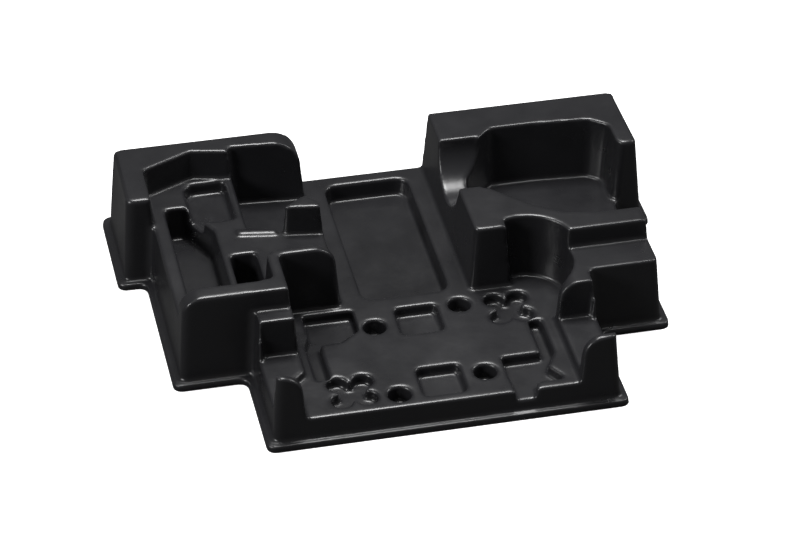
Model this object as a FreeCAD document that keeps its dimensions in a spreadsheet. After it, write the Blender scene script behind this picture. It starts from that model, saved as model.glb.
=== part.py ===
import FreeCAD, Part
import Sketcher
import os
import re

# Driving sizes in millimetres and degrees. X runs across the tray from its centre line, Y runs
# back from the front edge of the rim, and Z runs up from the edge that the tray stands on.
# Places in an outline hold at the level where the form starts: at the foot of a raised form
# and at the floor of a recess.
SIZES = {
    # sheet
    "wall": 1.5, "draft": 4.4, "clear_above": 4, "beyond": 12,
    # stepped rim
    "back_half": 189, "middle_half": 169.8, "front_half": 121,
    "middle_start": 76.5, "back_start": 197, "depth": 283,
    "flange": 4.6, "flange_level": 4.4, "rim_corner": 6,
    # levels of the tops and treads
    "top_level": 66.5, "tread_level": 52, "rib_level": 50, "shelf_level": 45,
    "cradle_level": 36, "strip_level": 25, "bay_level": 20.5, "deck_level": 19.5,
    "hole_level": 6, "body_corner": 5, "body_round": 2.5, "corner": 4,
    # deck between the blocks, and the channel behind it
    "deck_front_left": -94, "deck_left": -86.5, "deck_right": 88.5, "deck_right_end": 92,
    "deck_jog_front": 43, "deck_jog_back": 50, "deck_back": 121.5, "deck_corner": 75,
    "channel_left": -48, "channel_right": 41,
    # front posts, side strips and the low blocks behind them
    "strip_front": 16, "strip_back": 70, "strip_inside": 80, "pilaster_front": 65.5,
    "pilaster_inside": 111, "post_round": 14, "strip_corner": 2,
    # right tread, and the round bay that bites into it
    "tread_back": 111.5, "round_bay_x": 76, "round_bay_y": 103.5, "round_bay_radius": 28,
    "pillar_right": 69.5,
    # bay of the right block
    "bay_left": 62, "bay_throat_y": 178, "bay_throat_x": 68, "bay_nose_y": 175,
    "bay_shoulder_x": 79, "bay_shoulder_y": 163, "bay_waist_x": 93, "bay_waist_y": 149,
    "bay_hip_x": 108, "bay_hip_y": 138, "bay_front_x": 130, "bay_front_y": 133,
    "bay_side_back": 202.4, "bay_right": 162, "bay_right_back": 230, "bay_slant_x": 152,
    "bay_slant_y": 238, "bay_back_x": 112, "bay_back": 241, "bay_turn_x": 84, "bay_turn_y": 220,
    "bay_corner": 8, "saddle_y": 206, "saddle_radius": 30, "saddle_level": 38, "saddle_end": 72,
    # upper shelf of the left block
    "shelf_front": 101, "shelf_turn_x": -106, "shelf_inner_x": -100, "shelf_inner_y": 107,
    "shelf_inner_end": 126, "pillar_turn": -93, "pillar_back": 133, "post_front_right": 171,
    "post_front_x": -77, "post_front_left": 177, "shelf_side_back": 204.5,
    "rim_inside": -161, "rim_inside_back": 242, "rim_slant_x": -127, "rim_slant_y": 258,
    # corner bay of the left block, open to the channel
    "corner_bay_left": -98, "corner_bay_front": 192, "post_side_x": -77, "post_side_y": 183,
    "post_back_x": -59, "post_back_y": 196, "post_right": 184,
    "corner_bay_back": 256, "corner_bay_right_back": 251,
    # hole, tool bay, cradle and rib of the left block
    "hole_left": -114, "hole_right": -102, "hole_front": 105, "hole_back": 158,
    "tool_bay_left": -150, "tool_bay_right": -124, "tool_bay_front": 105,
    "tool_bay_turn": 192, "tool_bay_end_x": -139, "tool_bay_end": 222,
    "cradle_right": -106, "cradle_front": 204, "cradle_back": 250, "cradle_left": -129,
    "cradle_slant_x": -134, "cradle_slant_y": 244,
    "rib_left": -108, "rib_right": -81, "rib_front_left": 182, "rib_front_right": 177.5,
    "rib_width": 6,
    # rounded upper corners, seen from the front
    "middle_round": 14, "pillar_round": 16, "back_wall_round": 20, "back_wall_front": 240,
    # recesses of the deck
    "long_left": -31.5, "long_right": 26.5, "long_front": 127, "long_back": 264,
    "long_level": 6.5, "long_corner": 9,
    "square_half": 14, "square_front": 15, "square_back": 44, "second_square_front": 83,
    "second_square_back": 112, "square_level": 12, "dimple_radius": 7, "dimple_level": 8,
    "near_left_x": -30, "near_left_y": 20, "near_right_x": 30, "near_right_y": 32,
    "far_left_x": -31, "far_left_y": 95, "far_right_x": 30, "far_right_y": 108,
    # clover recesses for round heads: each is a well with a lobe at every corner
    "lobe_radius": 6.5, "lobe_level": 12, "clover_near_left": -68, "clover_near_right": -51,
    "clover_near_front": 21, "clover_near_back": 39, "clover_far_left": 54,
    "clover_far_right": 70, "clover_far_front": 89, "clover_far_back": 108,
    # branched recesses at the deck's left and right, with their finger slots
    "branch_level": 12, "branch_left": -76, "branch_right": -43, "branch_front": 84,
    "branch_back": 116, "branch_notch": 94, "branch_waist": -57, "slot_left": -80,
    "slot_right": -71, "slot_front": 46, "fork_left": 44, "fork_right": 79, "fork_front": 29,
    "fork_back": 44, "fork_inner": 71, "fork_end": 80, "tip_left": 46, "tip_right": 54,
    "foot_left": 60, "foot_front": 15,
}

DOC = FreeCAD.newDocument("tray")
SHEET = DOC.addObject("Spreadsheet::Sheet", "Sizes")
for row, (alias, size) in enumerate(SIZES.items(), start=1):
    SHEET.set(f"A{row}", alias)
    SHEET.set(f"B{row}", str(size))
    SHEET.setAlias(f"B{row}", alias)
DOC.recompute()


def bound(text):
    """The same expression with every size's name read from the sheet."""
    return re.sub(r"[a-z_]+", lambda word: f"Sizes.{word[0]}" if word[0] in SIZES else word[0], text)


def worth(text):
    return float(SHEET.evalExpression(bound(text)))


def outline(name, corners, level):
    """A closed sketch of straight lines, with each corner's place bound to the sheet."""
    sketch = DOC.addObject("Sketcher::SketchObject", name + "_outline")
    points = [FreeCAD.Vector(worth(x), worth(y), 0) for x, y in corners]
    for start, end in zip(points, points[1:] + points[:1]):
        sketch.addGeometry(Part.LineSegment(start, end))
    for line, (point, (x, y)) in enumerate(zip(points, corners)):
        before = (line - 1) % len(corners)
        sketch.addConstraint(Sketcher.Constraint("Coincident", before, 2, line, 1))
        for way, place, text in (("DistanceX", point.x, x), ("DistanceY", point.y, y)):
            index = sketch.addConstraint(Sketcher.Constraint(way, -1, 1, line, 1, place))
            sketch.setExpression(f"Constraints[{index}]", bound(text))
    sketch.setExpression("Placement.Base.z", bound(level))
    return sketch


def moved(corners, distance, level):
    """The outline's corners at a level, after each side has moved outwards by the distance."""
    places = []
    for before, corner, after in zip(corners[-1:] + corners[:-1], corners, corners[1:] + corners[:1]):
        sides = [(corner - before).normalize(), (after - corner).normalize()]
        first, second = [FreeCAD.Vector(side.y, -side.x, 0) for side in sides]
        place = corner + (first + second) * (distance / (1 + first.dot(second)))
        places.append(FreeCAD.Vector(place.x, place.y, level))
    return places


def drafted(name, sketch, grow, foot, height, lean):
    """A solid with plane sides that stands on the sketch's outline, moved out by grow. The sides
    widen upwards where lean is 1 and close in where it is -1."""
    corners = [corner.Point for corner in sketch.Shape.Wires[0].OrderedVertexes]
    if sum(one.cross(other).z for one, other in zip(corners, corners[1:] + corners[:1])) < 0:
        corners.reverse()
    foot, height, grow = worth(foot), worth(height), worth(grow)
    low = moved(corners, grow, foot)
    high = moved(corners, grow + lean * height * worth("tan(draft)"), foot + height)
    rings = [low[::-1], high]
    rings += zip(low, low[1:] + low[:1], high[1:] + high[:1], high)
    faces = [Part.Face(Part.makePolygon([*ring, ring[0]])) for ring in rings]
    form = DOC.addObject("Part::Feature", name)
    form.Shape = Part.Solid(Part.Shell(faces))
    return form


def softened(name, solid, upright, level=0, level_edges="0"):
    """Fillets on a drafted solid's upright edges, and on its edges at one level if asked for."""
    fillet = DOC.addObject("Part::Fillet", name)
    fillet.Base = solid
    edges = []
    for number, edge in enumerate(solid.Shape.Edges, start=1):
        box = edge.BoundBox
        if box.ZLength > worth("wall"):
            edges.append((number, worth(upright), worth(upright)))
        elif worth(level_edges) and abs(box.ZMin - level) < worth("wall") / 2:
            edges.append((number, worth(level_edges), worth(level_edges)))
    fillet.Edges = edges
    DOC.recompute()
    return fillet


def joined(name, solids):
    union = DOC.addObject("Part::MultiFuse", name)
    union.Shapes = solids
    DOC.recompute()
    return union


def less(name, solid, tool):
    cut = DOC.addObject("Part::Cut", name)
    cut.Base = solid
    cut.Tool = tool
    DOC.recompute()
    return cut


def recess(name, corners, floor, upright="corner"):
    """A drafted recess: the tool for the air side and the tool for the underside."""
    sketch = outline(name, corners, floor)
    DOC.recompute()
    reach = f"top_level + clear_above - {floor}"
    air = drafted(name + "_air", sketch, "0", floor, reach, 1)
    under = drafted(name + "_under", sketch, "wall", f"{floor} - wall", reach + " + wall", 1)
    return softened(name + "_air_soft", air, upright), under


def raised(name, corners, foot, top):
    """A drafted raised form: its outer solid and the solid inside its sheet."""
    sketch = outline(name, corners, foot)
    DOC.recompute()
    outer = drafted(name + "_outer", sketch, "0", foot, f"{top} - {foot}", -1)
    return outer, drafted(name + "_inner", sketch, "-wall", foot, f"{top} - {foot} - wall", -1)


def round_recess(name, x, y, radius, floor):
    """A drafted round recess about an upright axis, for the air side and for the underside."""
    tools = []
    for side, more in (("_air", "0"), ("_under", "wall")):
        cone = DOC.addObject("Part::Cone", name + side)
        reach = f"(top_level + clear_above - {floor} + {more})"
        cone.setExpression("Radius1", bound(f"{radius} + {more}"))
        cone.setExpression("Radius2", bound(f"{radius} + {more} + {reach} * tan(draft)"))
        cone.setExpression("Height", bound(reach))
        for axis, place in (("x", x), ("y", y), ("z", f"{floor} - {more}")):
            cone.setExpression("Placement.Base." + axis, bound(place))
        tools.append(cone)
    DOC.recompute()
    return tools


def upper_round(name, foot_x, foot, top, side, radius, front, back):
    """Rounds the upper corner of a wall that faces +X where side is 1 and -X where it is -1."""
    level = f"({top} - {radius})"
    middle = f"({foot_x} - {side} * ({radius} + ({level} - {foot}) * tan(draft)))"
    tools = []
    for part, less_by in (("_air", "0"), ("_under", "wall")):
        block = DOC.addObject("Part::Box", name + part + "_block")
        block.setExpression("Length", bound(f"{radius} + beyond"))
        block.setExpression("Width", bound(f"({back}) - ({front})"))
        block.setExpression("Height", bound(f"{radius} + clear_above"))
        block.setExpression("Placement.Base.x", bound(f"{middle} - (1 - {side}) / 2 * ({radius} + beyond)"))
        block.setExpression("Placement.Base.y", bound(front))
        block.setExpression("Placement.Base.z", bound(level))
        roller = DOC.addObject("Part::Cylinder", name + part + "_roller")
        roller.Placement.Rotation = FreeCAD.Rotation(FreeCAD.Vector(1, 0, 0), -90)
        roller.setExpression("Radius", bound(f"{radius} - {less_by}"))
        roller.setExpression("Height", bound(f"({back}) - ({front}) + 2 * beyond"))
        roller.setExpression("Placement.Base.x", bound(middle))
        roller.setExpression("Placement.Base.y", bound(f"({front}) - beyond"))
        roller.setExpression("Placement.Base.z", bound(level))
        tools.append(less(name + part, block, roller))
    return tools


def rim_and_body():
    """The stepped block that the recesses are sunk into, and the flange round its foot."""
    rim = outline("rim", [
        ("-front_half", "0"), ("front_half", "0"), ("front_half", "middle_start"),
        ("middle_half", "middle_start"), ("middle_half", "back_start"), ("back_half", "back_start"),
        ("back_half", "depth"), ("-back_half", "depth"), ("-back_half", "back_start"),
        ("-middle_half", "back_start"), ("-middle_half", "middle_start"),
        ("-front_half", "middle_start")], "0")
    DOC.recompute()
    flange = softened("flange_soft", drafted("flange", rim, "0", "0", "flange_level", -1), "rim_corner")
    under_flange = softened(
        "under_flange_soft", drafted("under_flange", rim, "-wall", "0", "flange_level - wall", -1),
        "rim_corner - wall")
    body = softened("body_soft", drafted("body", rim, "-flange", "0", "top_level", -1),
                    "body_corner", worth("top_level"), "body_round")
    under_body = softened(
        "under_body_soft",
        drafted("under_body", rim, "-flange - wall", "0", "top_level - wall", -1),
        "body_corner - wall")
    return joined("form", [flange, body]), joined("under_form", [under_flange, under_body])


def deck():
    """The low deck, open to the front, and the channel that runs back between the blocks."""
    return recess("deck", [
        ("deck_front_left", "-beyond"), ("deck_right", "-beyond"), ("deck_right", "deck_right_end"),
        ("deck_corner", "deck_back"), ("channel_right", "deck_back"),
        ("channel_right", "depth + beyond"), ("channel_left", "depth + beyond"),
        ("channel_left", "deck_back"), ("deck_left", "deck_back"), ("deck_left", "deck_jog_back"),
        ("deck_front_left", "deck_jog_front")], "deck_level")


def front_tiers():
    """The treads: everything in front of the tall walls stops at one level."""
    lean = "(tread_level * tan(draft))"
    left = recess("left_tread", [
        ("-middle_half - beyond", "-beyond"), ("-strip_inside", "-beyond"),
        ("-strip_inside", f"middle_start + flange + {lean}"),
        ("-middle_half - beyond", f"middle_start + flange + {lean}")], "tread_level")
    right = recess("right_tread", [
        ("strip_inside", "-beyond"), ("middle_half + beyond", "-beyond"),
        ("middle_half + beyond", "tread_back"), ("strip_inside", "tread_back")], "tread_level")
    return [left, right]


def side_strips():
    """The strips beside the deck, between the front posts and the low blocks."""
    strips = []
    for name, side in (("left_strip", "-1"), ("right_strip", "1")):
        corners = [
            ("strip_inside", "strip_front"), ("front_half + beyond", "strip_front"),
            ("front_half + beyond", "pilaster_front"), ("pilaster_inside", "pilaster_front"),
            ("pilaster_inside", "strip_back"), ("strip_inside", "strip_back")]
        corners = [(f"{side} * ({x})", y) for x, y in corners]
        strips.append(recess(name, corners, "strip_level", "strip_corner"))
    return strips


def round_bay():
    """The round bay in the right block, stopped by the pillar at its left."""
    pillar = raised("pillar", [
        ("channel_right - beyond", "strip_back"), ("pillar_right", "strip_back"),
        ("pillar_right", "round_bay_y + 2 * round_bay_radius"),
        ("channel_right - beyond", "round_bay_y + 2 * round_bay_radius")],
        "deck_level", "top_level + 2 * clear_above")
    bays = round_recess("bay_circle", "round_bay_x", "round_bay_y", "round_bay_radius", "deck_level")
    return [less(bay.Name + "_bay", bay, keep) for bay, keep in zip(bays, pillar)]


def right_bay():
    """The large bay of the right block, open at floor level to the right side."""
    return recess("right_bay", [
        ("bay_left", "bay_throat_y"), ("bay_throat_x", "bay_nose_y"),
        ("bay_shoulder_x", "bay_shoulder_y"), ("bay_waist_x", "bay_waist_y"),
        ("bay_hip_x", "bay_hip_y"), ("bay_front_x", "bay_front_y"),
        ("middle_half + beyond", "bay_front_y"), ("middle_half + beyond", "bay_side_back"),
        ("bay_right", "bay_side_back"), ("bay_right", "bay_right_back"),
        ("bay_slant_x", "bay_slant_y"), ("bay_back_x", "bay_back"),
        ("bay_turn_x", "bay_back"), ("bay_left", "bay_turn_y")], "bay_level", "bay_corner")


def saddle():
    """The U-shaped notch that runs through the wall between the channel and the right bay."""
    tools = []
    for part, more in (("_air", "0"), ("_under", "wall")):
        roller = DOC.addObject("Part::Cylinder", "saddle" + part)
        roller.Placement.Rotation = FreeCAD.Rotation(FreeCAD.Vector(0, 1, 0), 90)
        roller.setExpression("Radius", bound(f"saddle_radius + {more}"))
        roller.setExpression("Height", bound("saddle_end - channel_right + beyond"))
        roller.setExpression("Placement.Base.x", bound("channel_right - beyond"))
        roller.setExpression("Placement.Base.y", bound("saddle_y"))
        roller.setExpression("Placement.Base.z", bound("saddle_level + saddle_radius"))
        tools.append(roller)
    DOC.recompute()
    return tools


def left_shelf():
    """The upper shelf of the left block, open to the left side and to the channel."""
    return recess("left_shelf", [
        ("-middle_half - beyond", "shelf_front"), ("shelf_turn_x", "shelf_front"),
        ("shelf_inner_x", "shelf_inner_y"), ("shelf_inner_x", "shelf_inner_end"),
        ("pillar_turn", "pillar_back"), ("channel_left + beyond", "pillar_back"),
        ("channel_left + beyond", "post_front_right"), ("post_front_x", "post_front_left"),
        ("post_front_x", "corner_bay_front + 2 * corner"),
        ("corner_bay_left + 2 * corner", "corner_bay_front + 2 * corner"),
        ("corner_bay_left + 2 * corner", "cradle_back"), ("rim_slant_x", "rim_slant_y"),
        ("rim_inside", "rim_inside_back"), ("rim_inside", "shelf_side_back"),
        ("-middle_half - beyond", "shelf_side_back")], "shelf_level")


def left_recesses():
    """The hollows sunk below the left block's shelf."""
    corner_bay = recess("corner_bay", [
        ("corner_bay_left", "corner_bay_front"), ("post_side_x", "post_side_y"),
        ("post_back_x", "post_back_y"), ("channel_left", "post_right"),
        ("channel_left + beyond", "post_right"),
        ("channel_left + beyond", "corner_bay_right_back"), ("corner_bay_left", "corner_bay_back")],
        "bay_level")
    hole = recess("hole", [
        ("hole_left", "hole_front"), ("hole_right", "hole_front"),
        ("hole_right", "hole_back"), ("hole_left", "hole_back")], "hole_level")
    tool_bay = recess("tool_bay", [
        ("tool_bay_left", "tool_bay_front"), ("tool_bay_right", "tool_bay_front"),
        ("tool_bay_right", "tool_bay_turn"), ("tool_bay_end_x", "tool_bay_end"),
        ("tool_bay_left", "tool_bay_end")], "bay_level")
    cradle = recess("cradle", [
        ("cradle_slant_x", "cradle_front"), ("cradle_right", "cradle_front"),
        ("cradle_right", "cradle_back"), ("cradle_left", "cradle_back"),
        ("cradle_slant_x", "cradle_slant_y")], "cradle_level")
    return [corner_bay, hole, tool_bay, cradle]


def rib():
    """The low rib across the left block, just behind its shelf."""
    return raised("rib", [
        ("rib_left", "rib_front_left"), ("rib_right", "rib_front_right"),
        ("rib_right", "rib_front_right + rib_width"), ("rib_left", "rib_front_left + rib_width")],
        "shelf_level - wall", "rib_level")


def rounded_corners():
    """The wide rounds on upper corners of the posts and the tall walls."""
    return [
        upper_round("left_post", "deck_front_left", "deck_level", "tread_level", "1",
                    "post_round", "-beyond", "strip_front + corner"),
        upper_round("right_post", "deck_right", "deck_level", "tread_level", "-1",
                    "post_round", "-beyond", "strip_front + corner"),
        upper_round("low_block", "deck_right", "deck_level", "tread_level", "-1",
                    "post_round", "pilaster_front", "deck_right_end"),
        upper_round("middle_wall", "flange - middle_half", "0", "top_level", "-1",
                    "middle_round", "middle_start - beyond", "shelf_front + corner"),
        upper_round("pillar_wall", "channel_left", "deck_level", "top_level", "1",
                    "pillar_round", "deck_back - beyond", "pillar_back + beyond"),
        upper_round("back_wall", "channel_left", "deck_level", "top_level", "1",
                    "back_wall_round", "back_wall_front", "depth + beyond"),
    ]


def deck_recesses():
    """The recesses sunk below the deck and the channel."""
    long_pocket = recess("long_pocket", [
        ("long_left", "long_front"), ("long_right", "long_front"),
        ("long_right", "long_back"), ("long_left", "long_back")], "long_level", "long_corner")
    squares = [
        recess(name, [("-square_half", front), ("square_half", front), ("square_half", back),
                      ("-square_half", back)], "square_level")
        for name, front, back in (("front_square", "square_front", "square_back"),
                                  ("second_square", "second_square_front", "second_square_back"))]
    dimples = [
        round_recess(name, name + "_x", name + "_y", "dimple_radius", "dimple_level")
        for name in ("near_left", "near_right", "far_left", "far_right")]
    return [long_pocket] + squares + dimples + clovers() + branches()


def clovers():
    """Square wells with a round lobe at each corner."""
    tools = []
    for name in ("clover_near", "clover_far"):
        left, right, front, back = [f"{name}_{side}" for side in ("left", "right", "front", "back")]
        corners = [(left, front), (right, front), (right, back), (left, back)]
        tools.append(recess(name, corners, "lobe_level"))
        tools += [round_recess(f"{name}_lobe_{number}", x, y, "lobe_radius", "lobe_level")
                  for number, (x, y) in enumerate(corners)]
    return tools


def branches():
    """The branched recesses at both sides of the deck."""
    left = recess("left_branch", [
        ("slot_left", "slot_front"), ("slot_right", "slot_front"), ("slot_right", "branch_front"),
        ("branch_waist", "branch_front"), ("branch_right", "branch_notch"),
        ("branch_right", "branch_back"), ("branch_left", "branch_back"),
        ("branch_left", "branch_notch"), ("slot_left", "branch_front")], "branch_level", "strip_corner")
    right = recess("right_branch", [
        ("fork_left", "fork_front"), ("tip_left", "-beyond"), ("tip_right", "-beyond"),
        ("foot_left", "foot_front"), ("fork_right", "foot_front"), ("fork_inner", "fork_front"),
        ("fork_right", "fork_back"), ("fork_right", "fork_end"), ("fork_inner", "fork_end"),
        ("fork_inner", "fork_back"), ("fork_left", "fork_back")], "branch_level", "strip_corner")
    return [left, right]


def insert_tray():
    """One sheet: the form's skin less the form that stands one wall inside it."""
    outer, inner = rim_and_body()
    pairs = front_tiers() + side_strips() + [deck(), round_bay(), right_bay(), saddle(), left_shelf()]
    pairs += left_recesses() + rounded_corners()
    islands = [rib()]
    sunk = deck_recesses()
    skins = []
    for side, form in enumerate((outer, inner)):
        for order, pair in enumerate(pairs):
            form = less(f"tier_{side}_{order}", form, pair[side])
        form = joined(f"stood_{side}", [form] + [island[side] for island in islands])
        for order, pair in enumerate(sunk):
            form = less(f"sunk_{side}_{order}", form, pair[side])
        skins.append(form)
    sheet = less("insert_tray", *skins)
    sheet.setExpression("Placement.Base.y", bound("depth * -0.5"))
    DOC.recompute()
    sheet.Label = "insert_tray"
    return sheet


TRAY = insert_tray()
for item in DOC.Objects:
    if "Invalid" in item.State or "Error" in item.State:
        raise RuntimeError(f"{item.Name} was not built")
if TRAY.Shape.isNull() or not TRAY.Shape.isValid():
    raise RuntimeError("the tray's shape is not valid")
os.makedirs("parts", exist_ok=True)
TRAY.Shape.exportStep(f"parts/{TRAY.Label}.step")
print(TRAY.Label, len(TRAY.Shape.Solids), TRAY.Shape.Volume, TRAY.Shape.BoundBox)
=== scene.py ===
import bpy
import bmesh
import math
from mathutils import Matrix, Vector


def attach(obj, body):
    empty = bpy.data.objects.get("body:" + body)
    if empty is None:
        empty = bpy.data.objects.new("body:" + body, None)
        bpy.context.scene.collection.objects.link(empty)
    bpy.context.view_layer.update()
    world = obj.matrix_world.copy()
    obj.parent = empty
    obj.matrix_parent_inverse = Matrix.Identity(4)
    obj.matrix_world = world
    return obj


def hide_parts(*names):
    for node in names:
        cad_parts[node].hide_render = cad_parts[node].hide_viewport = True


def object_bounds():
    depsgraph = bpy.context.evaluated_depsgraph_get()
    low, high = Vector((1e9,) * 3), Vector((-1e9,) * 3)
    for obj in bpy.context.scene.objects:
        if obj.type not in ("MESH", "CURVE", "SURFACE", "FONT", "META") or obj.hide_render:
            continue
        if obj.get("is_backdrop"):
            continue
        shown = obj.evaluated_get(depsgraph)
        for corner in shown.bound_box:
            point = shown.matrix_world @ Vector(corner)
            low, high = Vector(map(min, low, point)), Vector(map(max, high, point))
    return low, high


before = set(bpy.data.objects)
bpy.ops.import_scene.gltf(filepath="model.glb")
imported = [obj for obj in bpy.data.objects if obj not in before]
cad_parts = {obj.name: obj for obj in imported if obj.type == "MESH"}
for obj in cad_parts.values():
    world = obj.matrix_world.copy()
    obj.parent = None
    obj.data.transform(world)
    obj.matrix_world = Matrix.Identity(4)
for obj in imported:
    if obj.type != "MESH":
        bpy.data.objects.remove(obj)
low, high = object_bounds()

# Formed tray: one sheet of semi-gloss black plastic, vacuum formed over a mould, so that every
# edge is drawn into a soft round and the sheet keeps nearly one thickness all over. The skin is
# taken from the frame's outer surface, its edges are rounded and it gets its thickness back.
SHEET = 0.0015           # thickness of the formed sheet
GRAIN = 0.0011           # size of the cells the skin is rebuilt from
SKIRT = 0.008            # spare depth below the lip while the edges are rounded
ROUNDS = 12              # smoothing passes, which draw the edges into rounds of about 3 mm
KEPT = 0.17              # share of the rebuilt triangles that the finished skin keeps
LIP_PLANE = 0.00001      # everything below this height belongs to the lip's standing edge
WELD = 0.000001          # corners nearer than this are one
FLUTE_PITCH = 0.020      # the mould's upright flutes on the outer walls
FLUTE_DEPTH = 0.0012
FLUTE_FOOT = 0.008       # height at which the flutes start to rise from the wall
FLUTE_RISE = 0.010
BACK_WALL = 0.014        # how far in from the rim the drafted outer walls reach
SIDE_WALL = 0.016
SIDE_START = 0.068       # the side flutes run back from here
FACING = 0.4             # least share of a normal that points outwards on a fluted wall

skin = bmesh.new()
skin.from_mesh(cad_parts["insert_tray"].data)
bmesh.ops.remove_doubles(skin, verts=skin.verts, dist=WELD)
lip = [face for face in skin.faces if max(vert.co.z for vert in face.verts) < LIP_PLANE]
bmesh.ops.delete(skin, geom=lip, context="FACES")
# The outer skin is what hangs together with its furthest corner; the underside is left out.
widest = max(skin.verts, key=lambda vert: vert.co.x + vert.co.y)
outer, reached = {widest}, [widest]
while reached:
    vert = reached.pop()
    for edge in vert.link_edges:
        other = edge.other_vert(vert)
        if other not in outer:
            outer.add(other)
            reached.append(other)
bmesh.ops.delete(skin, geom=[vert for vert in skin.verts if vert not in outer], context="VERTS")
hem = [edge for edge in skin.edges if edge.is_boundary]
grown = bmesh.ops.extrude_edge_only(skin, edges=hem)["geom"]
for vert in grown:
    if isinstance(vert, bmesh.types.BMVert):
        vert.co.z -= SKIRT
bmesh.ops.holes_fill(skin, edges=[edge for edge in skin.edges if edge.is_boundary], sides=0)
bmesh.ops.recalc_face_normals(skin, faces=skin.faces)
mesh = bpy.data.meshes.new("formed_tray")
skin.to_mesh(mesh)
skin.free()
tray = bpy.data.objects.new("formed_tray", mesh)
bpy.context.scene.collection.objects.link(tray)

rebuild = tray.modifiers.new("rebuild", "REMESH")
rebuild.mode = "VOXEL"
rebuild.voxel_size = GRAIN
soften = tray.modifiers.new("soften", "SMOOTH")
soften.factor = 0.5
soften.iterations = ROUNDS
thin = tray.modifiers.new("thin", "DECIMATE")
thin.ratio = KEPT
evaluated = tray.evaluated_get(bpy.context.evaluated_depsgraph_get())
mesh = bpy.data.meshes.new_from_object(evaluated)
tray.modifiers.clear()
tray.data = mesh
skin = bmesh.new()
skin.from_mesh(mesh)
bmesh.ops.bisect_plane(skin, geom=skin.verts[:] + skin.edges[:] + skin.faces[:],
                       plane_co=(0, 0, LIP_PLANE), plane_no=(0, 0, 1), clear_inner=True)


def flute(along, height):
    """How far a fluted wall stands back at a place along it and at a height."""
    fade = min(max((height - FLUTE_FOOT) / FLUTE_RISE, 0), 1)
    return FLUTE_DEPTH * (0.5 + 0.5 * math.cos(2 * math.pi * along / FLUTE_PITCH)) * fade


skin.normal_update()
for vert in skin.verts:
    place = vert.co
    if place.y > high.y - BACK_WALL and vert.normal.y > FACING:
        place.y -= flute(place.x, place.z)
    elif (abs(place.x) > high.x - SIDE_WALL and place.y > SIDE_START
          and abs(vert.normal.x) > FACING):
        place.x -= math.copysign(flute(place.y, place.z), place.x)
for face in skin.faces:
    face.smooth = True
skin.to_mesh(mesh)
skin.free()
thicken = tray.modifiers.new("thicken", "SOLIDIFY")
thicken.thickness = SHEET
thicken.offset = -1
thicken.use_rim = True

plastic = bpy.data.materials.new("black_formed_plastic")
plastic.use_nodes = True
nodes, links = plastic.node_tree.nodes, plastic.node_tree.links
shader = nodes["Principled BSDF"]
shader.inputs["IOR"].default_value = 1.5
places = nodes.new("ShaderNodeTexCoord")


def noise(scale, detail, roughness):
    """Noise on the tray's own coordinates."""
    texture = nodes.new("ShaderNodeTexNoise")
    texture.inputs["Scale"].default_value = scale
    texture.inputs["Detail"].default_value = detail
    texture.inputs["Roughness"].default_value = roughness
    links.new(places.outputs["Object"], texture.inputs["Vector"])
    return texture.outputs["Fac"]


def spread(value, start, end, low, high):
    """The value's stretch from start to end, spread over low to high."""
    ramp = nodes.new("ShaderNodeMapRange")
    for name, number in (("From Min", start), ("From Max", end), ("To Min", low), ("To Max", high)):
        ramp.inputs[name].default_value = number
    links.new(value, ramp.inputs["Value"])
    return ramp.outputs["Result"]


geometry = nodes.new("ShaderNodeNewGeometry")
worn = spread(geometry.outputs["Pointiness"], 0.52, 0.60, 0.0, 1.0)
tone = nodes.new("ShaderNodeMix")
tone.data_type = "RGBA"
tone.inputs["A"].default_value = (0.0075, 0.0075, 0.0085, 1)
tone.inputs["B"].default_value = (0.016, 0.016, 0.018, 1)
links.new(noise(9, 4, 0.6), tone.inputs["Factor"])
rubbed = nodes.new("ShaderNodeMix")
rubbed.data_type = "RGBA"
rubbed.inputs["B"].default_value = (0.035, 0.035, 0.038, 1)
links.new(worn, rubbed.inputs["Factor"])
links.new(tone.outputs["Result"], rubbed.inputs["A"])
links.new(rubbed.outputs["Result"], shader.inputs["Base Color"])
links.new(spread(noise(35, 5, 0.6), 0.3, 0.7, 0.26, 0.36), shader.inputs["Roughness"])
peel = nodes.new("ShaderNodeBump")
peel.inputs["Strength"].default_value = 0.12
peel.inputs["Distance"].default_value = 0.0004
links.new(noise(260, 3, 0.55), peel.inputs["Height"])
wave = nodes.new("ShaderNodeBump")
wave.inputs["Strength"].default_value = 0.15
wave.inputs["Distance"].default_value = 0.0012
links.new(noise(28, 2, 0.5), wave.inputs["Height"])
links.new(peel.outputs["Normal"], wave.inputs["Normal"])
links.new(wave.outputs["Normal"], shader.inputs["Normal"])
tray.data.materials.clear()
tray.data.materials.append(plastic)
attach(tray, "root")
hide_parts("insert_tray")

# Floor: a plain white sweep, which keeps the tray's shadow. The tray's own walls see it as dark,
# so that they stay as black as the plastic is.
span = 6
mesh = bpy.data.meshes.new("floor")
mesh.from_pydata([(-span, -span, 0), (span, -span, 0), (span, span, 0), (-span, span, 0)], [],
                 [(0, 1, 2, 3)])
floor = bpy.data.objects.new("floor", mesh)
bpy.context.scene.collection.objects.link(floor)
white = bpy.data.materials.new("white_sweep")
white.use_nodes = True
parts, joins = white.node_tree.nodes, white.node_tree.links
paint = parts["Principled BSDF"]
paint.inputs["Base Color"].default_value = (0.9, 0.9, 0.9, 1)
paint.inputs["Roughness"].default_value = 0.9
dark = parts.new("ShaderNodeBsdfDiffuse")
dark.inputs["Color"].default_value = (0.06, 0.06, 0.06, 1)
ray = parts.new("ShaderNodeLightPath")
seen = parts.new("ShaderNodeMixShader")
joins.new(ray.outputs["Is Camera Ray"], seen.inputs["Fac"])
joins.new(dark.outputs["BSDF"], seen.inputs[1])
glow = parts.new("ShaderNodeEmission")
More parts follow.
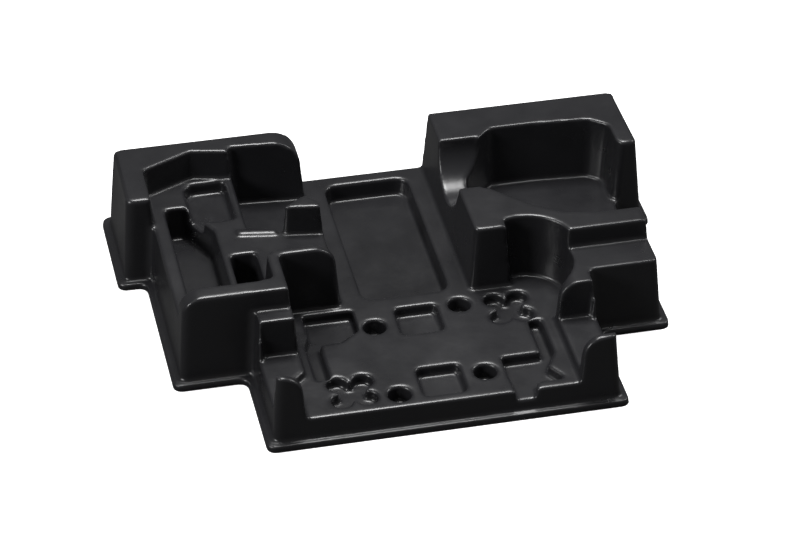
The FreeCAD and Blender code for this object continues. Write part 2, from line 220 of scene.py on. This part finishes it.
glow.inputs["Strength"].default_value = 0.55
both = parts.new("ShaderNodeAddShader")
joins.new(paint.outputs["BSDF"], both.inputs[0])
joins.new(glow.outputs["Emission"], both.inputs[1])
joins.new(both.outputs["Shader"], seen.inputs[2])
joins.new(seen.outputs["Shader"], parts["Material Output"].inputs["Surface"])
mesh.materials.append(white)
floor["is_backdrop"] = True

# Light: a dim room that the camera sees as white, a broad soft box above and behind, one at the
# front left and one at the right.
world = bpy.data.worlds.new("room")
bpy.context.scene.world = world
world.use_nodes = True
parts, joins = world.node_tree.nodes, world.node_tree.links
parts["Background"].inputs["Color"].default_value = (1, 1, 1, 1)
ray = parts.new("ShaderNodeLightPath")
glare = parts.new("ShaderNodeMapRange")
glare.inputs["To Min"].default_value = 0.12
glare.inputs["To Max"].default_value = 1.0
joins.new(ray.outputs["Is Camera Ray"], glare.inputs["Value"])
joins.new(glare.outputs["Result"], parts["Background"].inputs["Strength"])
for name, place, size, watts in (("top_box", (0.1, 0.5, 2.1), 0.8, 55),
                                 ("left_box", (-1.6, -0.5, 0.9), 0.5, 20),
                                 ("right_box", (1.5, 0.2, 1.3), 0.4, 10)):
    lamp = bpy.data.lights.new(name, "AREA")
    lamp.size = size
    lamp.energy = watts
    holder = bpy.data.objects.new(name, lamp)
    holder.location = place
    holder.rotation_mode = "QUATERNION"
    holder.rotation_quaternion = (-Vector(place)).to_track_quat("-Z", "Y")
    bpy.context.scene.collection.objects.link(holder)

# Camera: from the front and a little to the left, looking well down into the recesses.
camera = bpy.data.objects.new("camera", bpy.data.cameras.new("camera"))
bpy.context.scene.collection.objects.link(camera)
camera.location = (-0.3962, -1.8168, 1.3600)
camera.rotation_mode = "QUATERNION"
aim = Vector((0.0059, 0.0440, 0)) - camera.location
camera.rotation_quaternion = aim.to_track_quat("-Z", "Y")
camera.data.lens = 151.74
camera.data.sensor_width = 36
camera.data.clip_end = 50
bpy.context.scene.camera = camera
bpy.context.scene.view_settings.view_transform = "Standard"

low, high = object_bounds()
